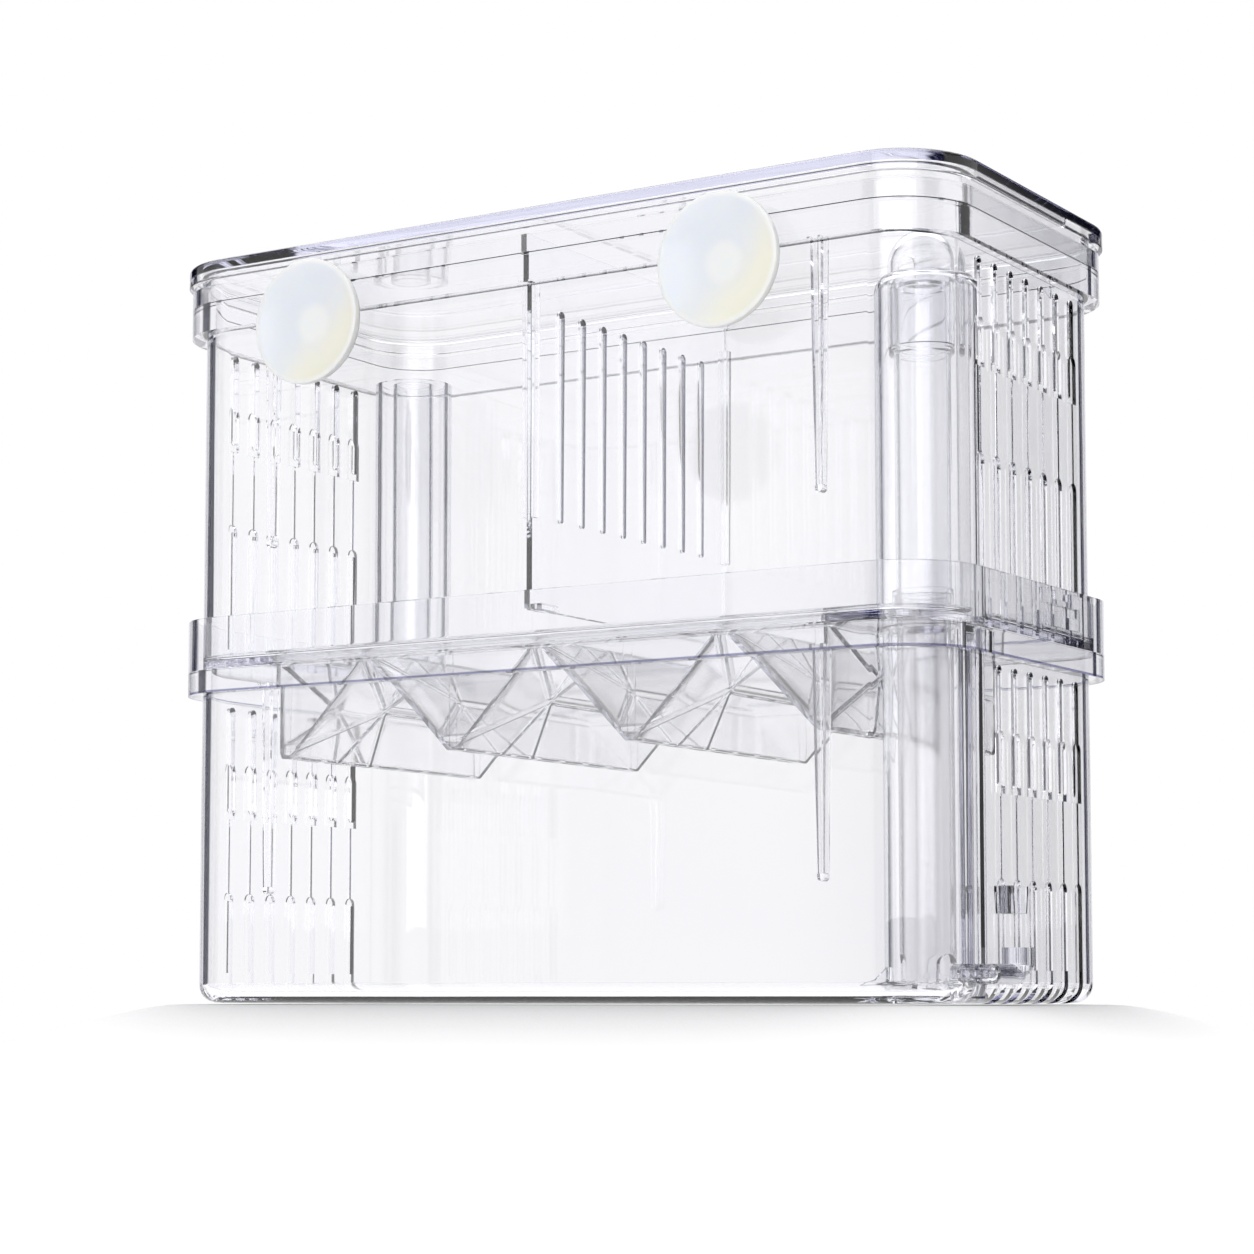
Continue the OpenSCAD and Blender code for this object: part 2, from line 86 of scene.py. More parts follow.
def add(tree, kind, inputs=None, **settings):
    """Adds one node. Inputs are plain values, or the outputs that feed them."""
    made = tree.nodes.new(kind)
    for name, value in settings.items():
        setattr(made, name, value)
    for socket, value in (inputs or {}).items():
        if isinstance(value, bpy.types.NodeSocket):
            tree.links.new(value, made.inputs[socket])
        else:
            made.inputs[socket].default_value = value
    return made


def reckon(tree, operation, *values):
    """One sum: the operation applied to plain values or to outputs of nodes."""
    return add(tree, "ShaderNodeMath", dict(enumerate(values)), operation=operation).outputs[0]


def ramp(tree, value, start, end, low=0.0, high=1.0, smooth=False):
    """Goes from low to high while value goes from start to end, and stays level beyond them."""
    way = "SMOOTHSTEP" if smooth else "LINEAR"
    return add(tree, "ShaderNodeMapRange", {"Value": value, "From Min": start, "From Max": end,
                                            "To Min": low, "To Max": high}, interpolation_type=way).outputs[0]


def blend(tree, share, first, second):
    """Mixes two colours."""
    return add(tree, "ShaderNodeMix", {"Factor": share, "A": first, "B": second}, data_type="RGBA").outputs["Result"]


def axis_of(tree, vector, letter):
    """One coordinate of a vector."""
    return add(tree, "ShaderNodeSeparateXYZ", {"Vector": vector}).outputs[letter]


def new_material(name):
    """An empty node material, and its tree."""
    material = bpy.data.materials.new(name)
    material.use_nodes = True
    material.node_tree.nodes.clear()
    return material, material.node_tree


# ---- materials

POLYSTYRENE, ACRYLIC, SILICONE = 1.58, 1.49, 1.41  # how strongly each bends light
# colours of the painted edge shade that darkens rounded walls turning away from the eye, standing in for the light they
# bend away
VIOLET_GREY, DARK_VIOLET, PAINTED_SHADE_GREY = "#62628C", "#34344C", "#5A5866"


def gate_ribs(tree, place, hub_y, hub_z, count):
    """Height of ribs that fan out from a hub at (hub_y, hub_z): 1 along each rib, 0 beside it."""
    y = reckon(tree, "SUBTRACT", axis_of(tree, place, "Y"), hub_y)
    z = reckon(tree, "SUBTRACT", axis_of(tree, place, "Z"), hub_z)
    reach = reckon(tree, "ADD", reckon(tree, "MULTIPLY", y, y), reckon(tree, "MULTIPLY", z, z))
    reach = reckon(tree, "POWER", reach, 0.5)
    # angle to the nearest rib, times the distance from the hub, is how far the point is from that rib
    turn = reckon(tree, "ADD", reckon(tree, "ARCTAN2", z, y), 2 * math.pi)
    off = reckon(tree, "PINGPONG", turn, math.pi / count)
    aside = reckon(tree, "MULTIPLY", off, reach)
    return ramp(tree, aside, 0.1 * MM, 0.9 * MM, 1.0, 0.0, smooth=True)


def painted_slot_shade(tree, place, normal, slot_x):
    """Painted shade mask: 1 on the walls of a slot that look toward -Y, past slot_x, where the slot meets the face of
    its plate.
    """
    corner = ramp(tree, axis_of(tree, place, "X"), slot_x, slot_x + 0.15 * MM, 0.0, 0.9)
    front = ramp(tree, axis_of(tree, normal, "Y"), -0.6, -0.9)
    return reckon(tree, "MULTIPLY", corner, front)


def painted_collar_foot_shade(tree, place, foot_z):
    """Painted shade mask: 1 on the outer face of the lower collar, in a band 0.5 mm high above its foot."""
    squares = []
    for letter, flat in (("X", FLAT_X), ("Y", FLAT_Y)):
        far = reckon(tree, "ABSOLUTE", axis_of(tree, place, letter))
        far = reckon(tree, "MAXIMUM", reckon(tree, "SUBTRACT", far, flat), 0.0)
        squares.append(reckon(tree, "POWER", far, 2.0))
    reach = reckon(tree, "POWER", reckon(tree, "ADD", *squares), 0.5)
    collar = CORNER + COLLAR_PROUD
    face = ramp(tree, reach, collar - 0.7 * MM, collar - 0.5 * MM)
    band = ramp(tree, axis_of(tree, place, "Z"), foot_z + 0.45 * MM, foot_z + 0.6 * MM, 1.0, 0.0)
    return reckon(tree, "MULTIPLY", band, face)


def clear_plastic(name, colour, flow_colour, depth_colour, depth_mm=100, roughness=0.0, ior=POLYSTYRENE, milk=0.0,
                  rays=None, flow_mm=0.1, away=0.6, full=0.95, line=VIOLET_GREY, slot_x=None, foot_z=None):
    """Clear moulded or drawn plastic. Flow marks from filling the mould run through it as long, soft waves.

    colour and flow_colour are what a wall lets through where the melt ran even and where it ran slow.
    depth_colour is what is left of white light after depth_mm of plastic, as seen along a wall at its edges.
    Where rounded walls turn away from the eye, a painted shade darkens their colour to a thin line of the colour line,
    standing in for the light those walls bend away. It begins where the wall has turned away by the share away, and
    is darkest at the share full.
    rays = (y, z, count) adds raised ribs that fan out from a hub on a sloping sheet.
    slot_x is for an upright plate across X: past it, a painted shade darkens the slot walls that look toward -Y along
    their corner.
    foot_z is for a tank: a painted shade darkens the outer face of its collar just above this height, where the collar
    ends.
    """
    material, tree = new_material(name)
    coordinates = add(tree, "ShaderNodeTexCoord")
    place, normal = coordinates.outputs["Object"], coordinates.outputs["Normal"]
    # flow marks are about 30 mm apart and stretched along the length of the mould
    stretched = add(tree, "ShaderNodeMapping", {"Vector": place, "Scale": (0.45, 1.0, 1.0)}).outputs["Vector"]
    flow = add(tree, "ShaderNodeTexNoise", {"Vector": stretched, "Scale": 1 / (30 * MM), "Detail": 2.0,
                                            "Roughness": 0.45}).outputs["Fac"]
    tone = blend(tree, flow, paint(colour), paint(flow_colour))
    relief = add(tree, "ShaderNodeBump", {"Height": flow, "Strength": 1.0, "Distance": flow_mm * MM}).outputs["Normal"]
    if rays:
        relief = add(tree, "ShaderNodeBump", {"Height": gate_ribs(tree, place, *rays), "Strength": 1.0,
                                              "Distance": 0.35 * MM, "Normal": relief}).outputs["Normal"]
    # painted shade: the colour darkens toward line where a wall turns away from the eye
    facing = add(tree, "ShaderNodeLayerWeight", {"Blend": 0.5}).outputs["Facing"]
    turned_away = ramp(tree, facing, away, full, 0.0, 0.8, smooth=True)
    # level plates are seen along their length from most places, so the painted edge shade leaves them clear
    level = reckon(tree, "ABSOLUTE", axis_of(tree, normal, "Z"))
    painted_edge_shade = reckon(tree, "MULTIPLY", turned_away, ramp(tree, level, 0.95, 0.995, 1.0, 0.0))
    if slot_x is not None:
        painted_edge_shade = reckon(tree, "MAXIMUM", painted_edge_shade, painted_slot_shade(tree, place, normal, slot_x))
    if foot_z is not None:
        painted_edge_shade = reckon(tree, "MAXIMUM", painted_edge_shade, painted_collar_foot_shade(tree, place, foot_z))
    shader = add(tree, "ShaderNodeBsdfPrincipled",
                 {"Base Color": blend(tree, painted_edge_shade, tone, paint(line)), "Transmission Weight": 1.0 - milk,
                  "Roughness": roughness, "IOR": ior, "Normal": relief})
    body = add(tree, "ShaderNodeVolumeAbsorption", {"Color": paint(depth_colour), "Density": 1 / (depth_mm * MM)})
    add(tree, "ShaderNodeOutputMaterial", {"Surface": shader.outputs["BSDF"], "Volume": body.outputs["Volume"]})
    return material


def milky_silicone(name):
    """Cast silicone rubber, left natural: it scatters blue back and lets warm light through by subsurface scattering,
    with more of both painted into its colour, and is satin smooth.

    The lip and the middle over the neck are painted a lighter cream than the thin dish, as painted highlights.
    """
    material, tree = new_material(name)
    place = add(tree, "ShaderNodeTexCoord")
    centred = add(tree, "ShaderNodeMapping", {"Vector": place.outputs["UV"], "Location": (-1, -1, 0),
                                              "Scale": (2, 2, 1)}).outputs["Vector"]
    span = add(tree, "ShaderNodeVectorMath", {0: centred}, operation="LENGTH").outputs["Value"]
    cloud = add(tree, "ShaderNodeTexNoise", {"Vector": place.outputs["Object"], "Scale": 1 / (9 * MM),
                                             "Detail": 2.0}).outputs["Fac"]
    # painted light: the colour is warm low on the side away from the wall, standing in for light that has come through
    # the rubber, and bluish elsewhere
    low = reckon(tree, "SUBTRACT", axis_of(tree, centred, "X"), axis_of(tree, centred, "Y"))
    warm = ramp(tree, reckon(tree, "MULTIPLY_ADD", cloud, 0.8, low), 0.1, 1.5, smooth=True)
    base = blend(tree, warm, paint("#EAEEF4"), paint("#FAF5E4"))
    # painted highlights: lighter cream on the lip and over the neck
    rim = ramp(tree, span, 0.9, 1.0, smooth=True)
    neck = ramp(tree, span, 0.2, 0.4, 0.7, 0.0, smooth=True)
    colour = blend(tree, reckon(tree, "MAXIMUM", rim, neck), base, paint("#FCFBF5"))
    bump = add(tree, "ShaderNodeBump", {"Height": cloud, "Strength": 0.5, "Distance": 0.2 * MM})
    shader = add(tree, "ShaderNodeBsdfPrincipled",
                 {"Base Color": colour, "Roughness": 0.2, "IOR": SILICONE, "Subsurface Weight": 0.6,
                  "Subsurface Radius": (4.0, 3.2, 2.4), "Subsurface Scale": 1 * MM, "Transmission Weight": 0.12,
                  "Normal": bump.outputs["Normal"]})
    add(tree, "ShaderNodeOutputMaterial", {"Surface": shader.outputs["BSDF"]})
    return material


# clear polystyrene, injection moulded in a polished mould: bright, hard gloss, violet-blue seen along the wall
# extruded acrylic tube: a shade clearer, with drawing lines too fine to show
MATERIALS = {
    "tank_clear": clear_plastic("clear_polystyrene_tank", "#FDFDFD", "#FAFAFC", "#D6D6F4", foot_z=COLLAR_FOOT),
    "lid_clear": clear_plastic("clear_polystyrene_lid", "#FEFEFE", "#FCFCFE", "#E2E2F8", flow_mm=0.04),
    "divider_clear": clear_plastic("clear_polystyrene_divider", "#FEFEFF", "#FCFCFE", "#DCDCF6",
                                   line=DARK_VIOLET, slot_x=0.2 * MM),
    "tube_clear": clear_plastic("clear_acrylic_tube", "#FFFFFF", "#FCFCFE", "#E2E2F6", roughness=0.02, ior=ACRYLIC),
    "tube_frosted": clear_plastic("frosted_acrylic_tube", "#FDFDFD", "#F8F7F8", "#E4E0E6", depth_mm=60,
                                  roughness=0.12, ior=ACRYLIC, away=0.55, line=PAINTED_SHADE_GREY),
    "fitting_clear": clear_plastic("clear_polystyrene_fitting", "#FCFCFE", "#F8F8FC", "#DCDCF6",
                                   away=0.15, full=0.5, line=DARK_VIOLET),
    "separator_clear": clear_plastic("milky_polystyrene_separator", "#FFFFFF", "#FCFCFD", "#ECECF8", roughness=0.05,
                                     milk=0.02, rays=(-18 * MM, 72 * MM, 7), away=0.85),
    "cup_silicone": milky_silicone("natural_silicone_rubber"),
}


# ---- mesh helpers


def arc(centre, radius, start, end, steps=8):
    """Points of an arc: centre plus radius times (cos a, sin a), with a going evenly from start to end degrees."""
    a = np.radians(np.linspace(start, end, steps + 1))
    return np.stack([centre[0] + radius * np.cos(a), centre[1] + radius * np.sin(a)], -1)


def eased(points, reach, steps=4):
    """Rounds the inner corners of an open line: each corner P becomes P + reach * ((1-k)^2 u + k^2 v), k from 0 to 1,
    where u and v point from P to its neighbours. Reach is at most a third of the shorter of the two."""
    before, here, after = points[:-2], points[1:-1], points[2:]
    u, v = before - here, after - here
    lu, lv = np.linalg.norm(u, axis=1, keepdims=True), np.linalg.norm(v, axis=1, keepdims=True)
    t = np.minimum(reach, np.minimum(lu, lv) / 3)[:, None, :]
    k = np.linspace(0, 1, steps + 1)[None, :, None]
    rounded = here[:, None, :] + t * ((1 - k) ** 2 * (u / lu)[:, None, :] + k**2 * (v / lv)[:, None, :])
    return np.vstack([points[:1], rounded.reshape(-1, points.shape[1]), points[-1:]])


def grid_faces(rows, columns, wrap_rows=False, wrap_columns=True):
    """Four-sided faces between neighbouring points of a grid, whose ends may join."""
    i = np.arange(rows if wrap_rows else rows - 1)[:, None]
    j = np.arange(columns if wrap_columns else columns - 1)[None, :]
    down, right = (i + 1) % rows, (j + 1) % columns
    here, below = i * columns, down * columns
    return np.stack([here + j, here + right, below + right, below + j], -1).reshape(-1, 4)


def turned(profile, centre, axis, steps=96):
    """Turns (radius, height) points about an axis: centre + height * axis + radius * (cos t * across + sin t * up).
    A profile that begins and ends on the axis is closed by a fan at each pole, and any other joins its own start."""
    t = np.linspace(0, 2 * np.pi, steps, endpoint=False)
    axis = np.array(axis, float)
    across = np.array([1.0, 0, 0])
    up = np.cross(axis, across)
    ring = np.cos(t)[:, None] * across + np.sin(t)[:, None] * up
    capped = profile[0, 0] < 1e-9
    rings = profile[1:-1] if capped else profile
    points = centre + rings[:, None, 1:] * axis + rings[:, None, :1] * ring
    points = points.reshape(-1, 3)
    faces = grid_faces(len(rings), steps, wrap_rows=not capped).tolist()
    if capped:
        poles = centre + profile[[0, -1], 1:] * axis
        first, last = len(points), len(points) + 1
        j = np.arange(steps)
        k = (j + 1) % steps
        end = (len(rings) - 1) * steps
        faces += np.stack([np.full(steps, first), k, j], -1).tolist()
        faces += np.stack([np.full(steps, last), end + j, end + k], -1).tolist()
        points = np.vstack([points, poles])
    return points, faces


def finish_piece(piece, node, material_slot, ease_mm=0.0, sharp=None):
    """Gives a piece its material, eased edges and even shading, and puts it in the frame in place of its node."""
    mesh = piece.data
    mesh.polygons.foreach_set("use_smooth", np.ones(len(mesh.polygons), bool))
    if sharp:
        mesh.set_sharp_from_angle(angle=math.radians(sharp))
    mesh.materials.append(MATERIALS[material_slot])
    if ease_mm:
        ease = piece.modifiers.new("eased_edges", "BEVEL")
        ease.width, ease.segments = ease_mm * MM, 2
        ease.limit_method, ease.angle_limit = "ANGLE", math.radians(35)
    even = piece.modifiers.new("even_faces", "WEIGHTED_NORMAL")
    even.keep_sharp, even.weight = True, 100
    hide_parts(node)
    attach(piece, BODY_OF[node])
    return piece


def new_piece(name, points, faces):
    """Makes a mesh object at the origin, with its faces turned outward."""
    mesh = bpy.data.meshes.new(name)
    mesh.from_pydata(np.asarray(points).tolist(), [], faces)
    work = bmesh.new()
    work.from_mesh(mesh)
    bmesh.ops.remove_doubles(work, verts=work.verts, dist=1e-6)
    bmesh.ops.recalc_face_normals(work, faces=work.faces)
    work.to_mesh(mesh)
    work.free()
    piece = bpy.data.objects.new(name, mesh)
    bpy.context.collection.objects.link(piece)
    return piece


def moulded_copy(node, ease_mm):
    """A merged copy of a node: its loose triangles are joined, and those that lie in one plane become one face."""
    mesh = bpy.data.meshes.new(node + "_moulding")
    work = bmesh.new()
    work.from_mesh(frame["nodes"][node].data)
    bmesh.ops.remove_doubles(work, verts=work.verts, dist=0.002 * MM)
    bmesh.ops.dissolve_limit(work, angle_limit=math.radians(0.5), verts=work.verts, edges=work.edges)
    work.to_mesh(mesh)
    work.free()
    piece = bpy.data.objects.new(node + "_moulding", mesh)
    bpy.context.collection.objects.link(piece)
    return finish_piece(piece, node, SLOT_OF[node], ease_mm)


# ---- pieces


def build_lid():
    """Flat cover with a rolled outer lip and a skirt inside the rim: a section carried round the rounded plan.

    A point of the section at distance r from a corner's centre becomes centre + r * (cos t, sin t) along each corner,
    and the section closes on a flat face at the middle of the top and of the underside.
    """
    low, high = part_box("lid")
    flat_x, flat_y = high.x - CORNER - LID_PROUD, high.y - CORNER - LID_PROUD
    top, foot = high.z, low.z
    plate = top - 2.4 * MM
    lip_low = top - 4.8 * MM
    lip, lip_in = CORNER + LID_PROUD, CORNER + LID_PROUD - 1.5 * MM
    skirt, skirt_in = CORNER + 1.3 * MM, CORNER - 0.6 * MM
    roll = 1.2 * MM
    outer = arc((lip - roll, top - roll), roll, 90, 0, 6)
    rest = np.array([[lip, lip_low], [lip_in, lip_low], [lip_in, plate], [skirt, plate], [skirt, foot],
                     [skirt_in, foot], [skirt_in, plate], [1 * MM, plate]])
    section = np.vstack([[[1 * MM, top]], outer[:-1], eased(np.vstack([outer[-1:], rest]), 0.3 * MM, 2)])
    # the plan, with extra stations along the finger recess in the right-hand side
    steps = 14
    t = np.radians(np.linspace(0, 90, steps + 1))
    turns = np.concatenate([t, t + math.pi / 2, t + math.pi, t + 1.5 * math.pi])
    middles = [[flat_x, flat_y], [-flat_x, flat_y], [-flat_x, -flat_y], [flat_x, -flat_y]]
    centres = np.repeat(middles, steps + 1, axis=0)
    stations = np.array([14.6, 15.0, 31.0, 31.4]) * MM
    turns = np.concatenate([turns, np.zeros(4)])
    centres = np.vstack([centres, np.stack([np.full(4, flat_x), stations], -1)])
    out = np.stack([np.cos(turns), np.sin(turns)], -1)
    plan = centres[None] + section[:, None, :1] * out[None]
    height = np.repeat(section[:, 1:], len(turns), axis=1)
    along = centres[:, 1]
    in_recess = (along > 14.8 * MM) & (along < 31.2 * MM) & (turns == 0) & (along != flat_y)
    lifted = np.maximum(height, plate - 0.2 * MM)
    height = np.where(in_recess[None] & (section[:, :1] > lip_in - 0.4 * MM), lifted, height)
    points = np.concatenate([plan, height[..., None]], -1).reshape(-1, 3)
    columns = len(turns)
    faces = grid_faces(len(section), columns).tolist()
    first = np.arange(columns)
    faces += [first[::-1].tolist(), (first + (len(section) - 1) * columns).tolist()]
    piece = new_piece("lid_cover", points, faces)
    return finish_piece(piece, "lid", "lid_clear", 0.15, sharp=50)


def build_separator():
    """Folded tray: one sheet z(x, y) that follows a zigzag along X, turns up into walls at both ends of the folds
    and out into a flange, with slits left open along the valleys, then given its thickness."""
    low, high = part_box("fry_separator")
    half, rim = high.x, high.y
    wall_x, wall_y = half - 2.2 * MM, rim - 2.2 * MM
    flange, valley = high.z - 3.6 * MM, low.z
    ridge = flange - 0.7 * MM
    fold = (wall_x - 1.95 * MM) / 1.5
    lip = 1.3 * MM
    centres = np.array([-1.5, -0.5, 0.5, 1.5]) * fold
    slit = 0.6 * MM
    # the zigzag in X and Z, with two stations for the slit in each valley
    vees = np.stack([centres - lip, centres - slit, centres + slit, centres + lip, centres + fold / 2], -1).ravel()[:-1]
    levels = np.tile([valley, valley, valley, valley, ridge], 4)[:-1]
    line = np.vstack([[[-half, flange], [-wall_x, flange], [-wall_x, valley + 1.5 * MM]],
                      np.stack([vees, levels], -1),
                      [[wall_x, valley + 1.5 * MM], [wall_x, flange], [half, flange]]])
    line = eased(line, 0.9 * MM, 3)
    # stations across the folds: flange, end wall, and both ends of every slit
    pitch, length = 10.6 * MM, 8 * MM
    ends = (np.arange(-3, 4)[:, None] * pitch + np.array([0, length]) - length / 2).ravel()
    y = np.concatenate([[-rim, -wall_y, -wall_y], ends, [wall_y, wall_y, rim]])
    on_flange = np.zeros(len(y), bool)
    on_flange[[0, 1, -2, -1]] = True
    x = np.repeat(line[:, :1], len(y), axis=1)
    z = np.where(on_flange[None], flange, line[:, 1:])
    points = np.stack([x, np.repeat(y[None], len(x), axis=0), z], -1)
    faces = grid_faces(len(x), len(y), wrap_columns=False)
    middle = points.reshape(-1, 3)[faces].mean(1)
    in_valley = (np.abs(middle[:, None, 0] - centres).min(1) < slit * 0.9) & (middle[:, 2] < valley + 0.3 * MM)
    in_slit = ((middle[:, 1] - ends[0]) % pitch < length) & (np.abs(middle[:, 1]) < -ends[0])
    faces = faces[~(in_valley & in_slit)]
    piece = new_piece("separator_tray", points.reshape(-1, 3), faces.tolist())
    sheet = piece.modifiers.new("sheet", "SOLIDIFY")
    sheet.thickness, sheet.use_even_offset = 1.2 * MM, False
    upward = np.mean([p.normal.z * p.area for p in piece.data.polygons]) > 0
    sheet.offset = 1.0 if upward else -1.0
    return finish_piece(piece, "fry_separator", "separator_clear", 0.2)


def build_upper_riser():
    """Clear tube turned about the column's axis: a wider socket at the foot and a narrow stop ring under the cap."""
    low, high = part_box("upper_riser_tube")
    centre = np.array([(low.x + high.x) / 2, (low.y + high.y) / 2, 0])
    bore, tube, socket, stop = 5.65 * MM, 6.65 * MM, 7.6 * MM, 7.8 * MM
    foot, top = low.z, high.z
    seat = foot + 7.3 * MM
    ring = foot + 60.7 * MM
    mouth, shoulder = 4.4 * MM, 1.8 * MM
    outside = np.array([[6.6 * MM, foot], [socket, foot], [socket, foot + 8.4 * MM], [tube, foot + 8.4 * MM],
                        [tube, ring], [stop, ring], [stop, ring + 1.4 * MM], [tube, ring + 1.4 * MM],
                        [tube, top - shoulder]])
    rounded = arc((tube - shoulder, top - shoulder), shoulder, 15, 90, 5)
    inside = np.array([[mouth, top], [mouth, top - 2 * MM], [bore, top - 2 * MM], [bore, seat],
                       [6.6 * MM, seat], [6.6 * MM, foot + 0.5 * MM]])
    profile = np.vstack([eased(outside, 0.25 * MM, 2), rounded[:-2],
                         eased(np.vstack([rounded[-2:], inside]), 0.25 * MM, 2)])
    points, faces = turned(profile, centre, (0, 0, 1))
    piece = new_piece("upper_riser", points, faces)
    return finish_piece(piece, "upper_riser_tube", "tube_clear", sharp=50)


def build_cup(node):
    """Silicone cup turned about Y: hollow dish, thin rolled lip, domed back, neck and button head."""
    low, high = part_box(node)
    centre = np.array([(low.x + high.x) / 2, low.y, (low.z + high.z) / 2])
    r = (high.x - low.x) / 2
    depth = high.y - low.y
    dish, back = 3.6 * MM, 5.6 * MM
    curve = ((r - 0.8 * MM) ** 2 + dish**2) / (2 * dish)
    spread = math.degrees(math.asin((r - 0.8 * MM) / curve))
    hollow = arc((0, dish - curve), curve, 90, 90 - spread, 18)
    # the back rises from a lip 1.1 mm thick as a quarter of a superellipse
    k = np.cos(np.radians(np.linspace(0, 88, 16)))
    crown = np.stack([4.2 * MM + (r - 4.2 * MM) * k, 1.1 * MM + (back - 1.1 * MM) * (1 - k**2.4) ** 0.5], -1)
    neck = eased(np.array([crown[-1], [3.05 * MM, back + 0.2 * MM], [3.05 * MM, 9.9 * MM],
                           [2.5 * MM, 9.9 * MM], [2.5 * MM, depth - 1.9 * MM], [4.2 * MM, depth - 1.9 * MM],
                           [4.2 * MM, depth], [0, depth]]), 0.45 * MM, 4)
    lip = eased(np.vstack([hollow[-1:], [[r, 0]], crown[:1]]), 0.5 * MM, 4)
    profile = np.vstack([hollow, lip[1:-1], crown, neck[1:]])
    profile[0, 0] = 0
    points, faces = turned(profile, centre, (0, 1, 0), 128)
    piece = new_piece(node + "_rubber", points, faces)
    mesh = piece.data
    co = np.empty(len(mesh.vertices) * 3, np.float32)
    mesh.vertices.foreach_get("co", co)
    corners = np.empty(len(mesh.loops), np.int32)
    mesh.loops.foreach_get("vertex_index", corners)
    flat = (co.reshape(-1, 3)[corners][:, [0, 2]] - centre[[0, 2]]) / (2 * r) + 0.5
    mesh.uv_layers.new(name="across").data.foreach_set("uv", flat.ravel().astype(np.float32))
    return finish_piece(piece, node, "cup_silicone", sharp=50)


EASED = {"lower_tank": 0.25, "upper_tank": 0.25, "divider_plate": 0.25, "hose_clip": 0.15, "air_nozzle": 0.15,
         "outlet_cap": 0.15, "lower_riser_tube": 0.2}
for moulding, ease_mm in EASED.items():
    moulded_copy(moulding, ease_mm)
build_lid()
build_separator()
build_upper_riser()
build_cup("suction_cup_left")
build_cup("suction_cup_right")


# ---- studio


def build_camera():
    data = bpy.data.cameras.new("camera")
    data.lens, data.sensor_width, data.shift_y = CAMERA_LENS, 36, CAMERA_RISE
    data.clip_start, data.clip_end = 0.01, 50
    camera = bpy.data.objects.new("camera", data)
    bpy.context.collection.objects.link(camera)
    camera.location = CAMERA_PLACE
    camera.rotation_euler = (math.radians(90 + CAMERA_TILT), 0, math.radians(CAMERA_AZIMUTH))
    bpy.context.scene.camera = camera


def build_world():
    """White studio. Light that the plastic has turned back also meets narrow dark flags between four tall windows,
    as clear edges need in order to show, and everything dims toward the ceiling."""
    world = bpy.data.worlds.new("studio")
    world.use_nodes = True
    bpy.context.scene.world = world
    tree = world.node_tree
    tree.nodes.clear()
    path = add(tree, "ShaderNodeLightPath")
    way = add(tree, "ShaderNodeTexCoord").outputs["Generated"]
    around = reckon(tree, "ARCTAN2", axis_of(tree, way, "Y"), axis_of(tree, way, "X"))
    around = reckon(tree, "MULTIPLY_ADD", around, 4.0, -4 * math.radians(90 + CAMERA_AZIMUTH))
    window = ramp(tree, reckon(tree, "COSINE", around), -0.8, -0.4, smooth=True)
    bounced = reckon(tree, "MINIMUM", path.outputs["Glossy Depth"], 1.0)
    panel = add(tree, "ShaderNodeMix", {"Factor": bounced, "A": 1.0, "B": window}, data_type="FLOAT").outputs["Result"]
    ceiling = ramp(tree, axis_of(tree, way, "Z"), 0.3, 0.7, 1.0, 0.25)
    tone = blend(tree, reckon(tree, "MULTIPLY", panel, ceiling), paint("#1E1E38"), (1, 1, 1, 1))
    seen = add(tree, "ShaderNodeBackground", {"Color": (1, 1, 1, 1), "Strength": 1.0})
    room = add(tree, "ShaderNodeBackground", {"Color": tone, "Strength": 1.0})
    both = add(tree, "ShaderNodeMixShader", {0: path.outputs["Is Camera Ray"], 1: room.outputs[0], 2: seen.outputs[0]})
    add(tree, "ShaderNodeOutputWorld", {"Surface": both.outputs[0]})


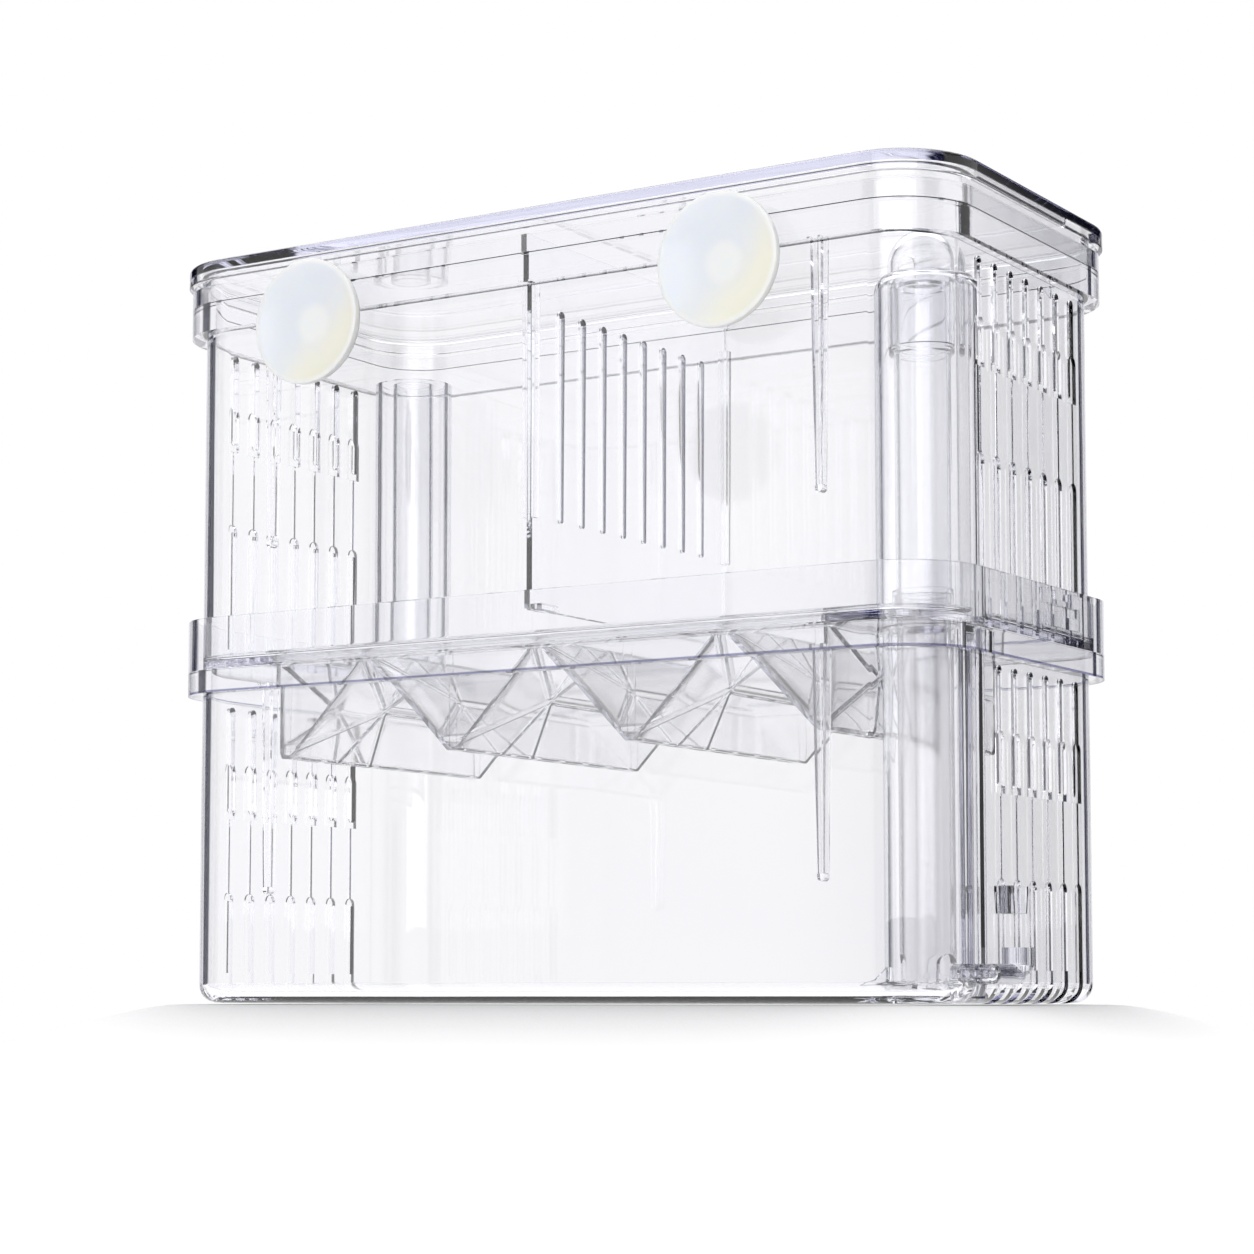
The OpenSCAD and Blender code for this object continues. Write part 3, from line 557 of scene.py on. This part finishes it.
def build_floor():
    """White table, level under the box and falling gently away from it on all sides, with a soft shadow, partly painted
    into its glow.

    Each ring lies at a distance d outside the rounded footprint, at z = -0.28 * (sqrt((d - 4)^2 + 10^2) - 10) mm.
    """
    d = np.array([-14.9, 4, 7, 11, 16, 23, 32, 45, 64, 90, 130, 200, 320, 560, 1000, 2000, 4000])
    z = np.where(d > 4, -0.28 * (np.hypot(d - 4, 10) - 10), 0) - 0.3
    t = np.radians(np.linspace(0, 90, 13))
    turns = np.concatenate([t, t + math.pi / 2, t + math.pi, t + 1.5 * math.pi])
    flat_x, flat_y, corner = FLAT_X / MM, FLAT_Y / MM, CORNER / MM
    centres = np.repeat([[flat_x, flat_y], [-flat_x, flat_y], [-flat_x, -flat_y], [flat_x, -flat_y]], 13, axis=0)
    out = np.stack([np.cos(turns), np.sin(turns)], -1)
    plan = centres[None] + (corner + d)[:, None, None] * out[None]
    points = np.concatenate([plan, np.repeat(z[:, None, None], len(turns), axis=1)], -1).reshape(-1, 3) * MM
    faces = grid_faces(len(d), len(turns)).tolist() + [list(range(len(turns)))]
    mesh = bpy.data.meshes.new("floor")
    mesh.from_pydata(points.tolist(), [], faces)
    mesh.polygons.foreach_set("use_smooth", np.ones(len(mesh.polygons), bool))
    floor = bpy.data.objects.new("floor", mesh)
    bpy.context.collection.objects.link(floor)
    material, tree = new_material("white_table")
    path = add(tree, "ShaderNodeLightPath")
    # seen straight on it keeps its shadow: real on the card, and painted into its glow where other surfaces are close;
    # it is darkest where the box meets it, and fades to plain white far out; in and through the plastic it is nearly
    # plain white
    eye = path.outputs["Is Camera Ray"]
    bounced = reckon(tree, "MAXIMUM", path.outputs["Is Transmission Ray"], path.outputs["Is Glossy Ray"])
    place = add(tree, "ShaderNodeTexCoord").outputs["Object"]
    far = add(tree, "ShaderNodeVectorMath", {0: place}, operation="LENGTH").outputs["Value"]
    share = reckon(tree, "MULTIPLY", eye, ramp(tree, far, 0.2, 0.7, 0.6, 1.0, smooth=True))
    share = reckon(tree, "MULTIPLY_ADD", bounced, 0.9, share)
    # painted contact shadow: seen straight on, the glow dims where ambient occlusion finds other surfaces close
    glow_with_painted_shadow = add(tree, "ShaderNodeAmbientOcclusion", {"Distance": 60 * MM}, samples=6).outputs["AO"]
    glow_with_painted_shadow = reckon(tree, "POWER", glow_with_painted_shadow, 1.6)
    glow_with_painted_shadow = add(tree, "ShaderNodeMix", {"Factor": eye, "A": 1.0, "B": glow_with_painted_shadow}, data_type="FLOAT").outputs["Result"]
    glow_with_painted_shadow = reckon(tree, "MULTIPLY", glow_with_painted_shadow, 1.22)
    card = add(tree, "ShaderNodeBsdfDiffuse", {"Color": paint("#F4F4F6")})
    glow = add(tree, "ShaderNodeEmission", {"Color": (1, 1, 1, 1), "Strength": glow_with_painted_shadow})
    both = add(tree, "ShaderNodeMixShader", {0: share, 1: card.outputs[0], 2: glow.outputs[0]})
    add(tree, "ShaderNodeOutputMaterial", {"Surface": both.outputs[0]})
    mesh.materials.append(material)


def build_lamp(name, place, size, watts):
    """A large square soft box that faces the middle of the box."""
    data = bpy.data.lights.new(name, "AREA")
    data.shape, data.size, data.energy = "SQUARE", size, watts
    lamp = bpy.data.objects.new(name, data)
    bpy.context.collection.objects.link(lamp)
    lamp.location = place
    lamp.rotation_euler = (Vector((0, 0, 0.09)) - lamp.location).to_track_quat("-Z", "Y").to_euler()


build_camera()
build_world()
build_floor()
build_lamp("overhead_soft_box", (-0.15, 0.3, 1.2), 1.6, 12.0)
build_lamp("front_soft_box", (0.5, -1.0, 0.6), 1.2, 6.0)
scene = bpy.context.scene
scene.view_settings.view_transform = "Standard"
# clear walls stand many layers deep
scene.cycles.max_bounces = 36
scene.cycles.transmission_bounces = 32
scene.cycles.glossy_bounces = 12
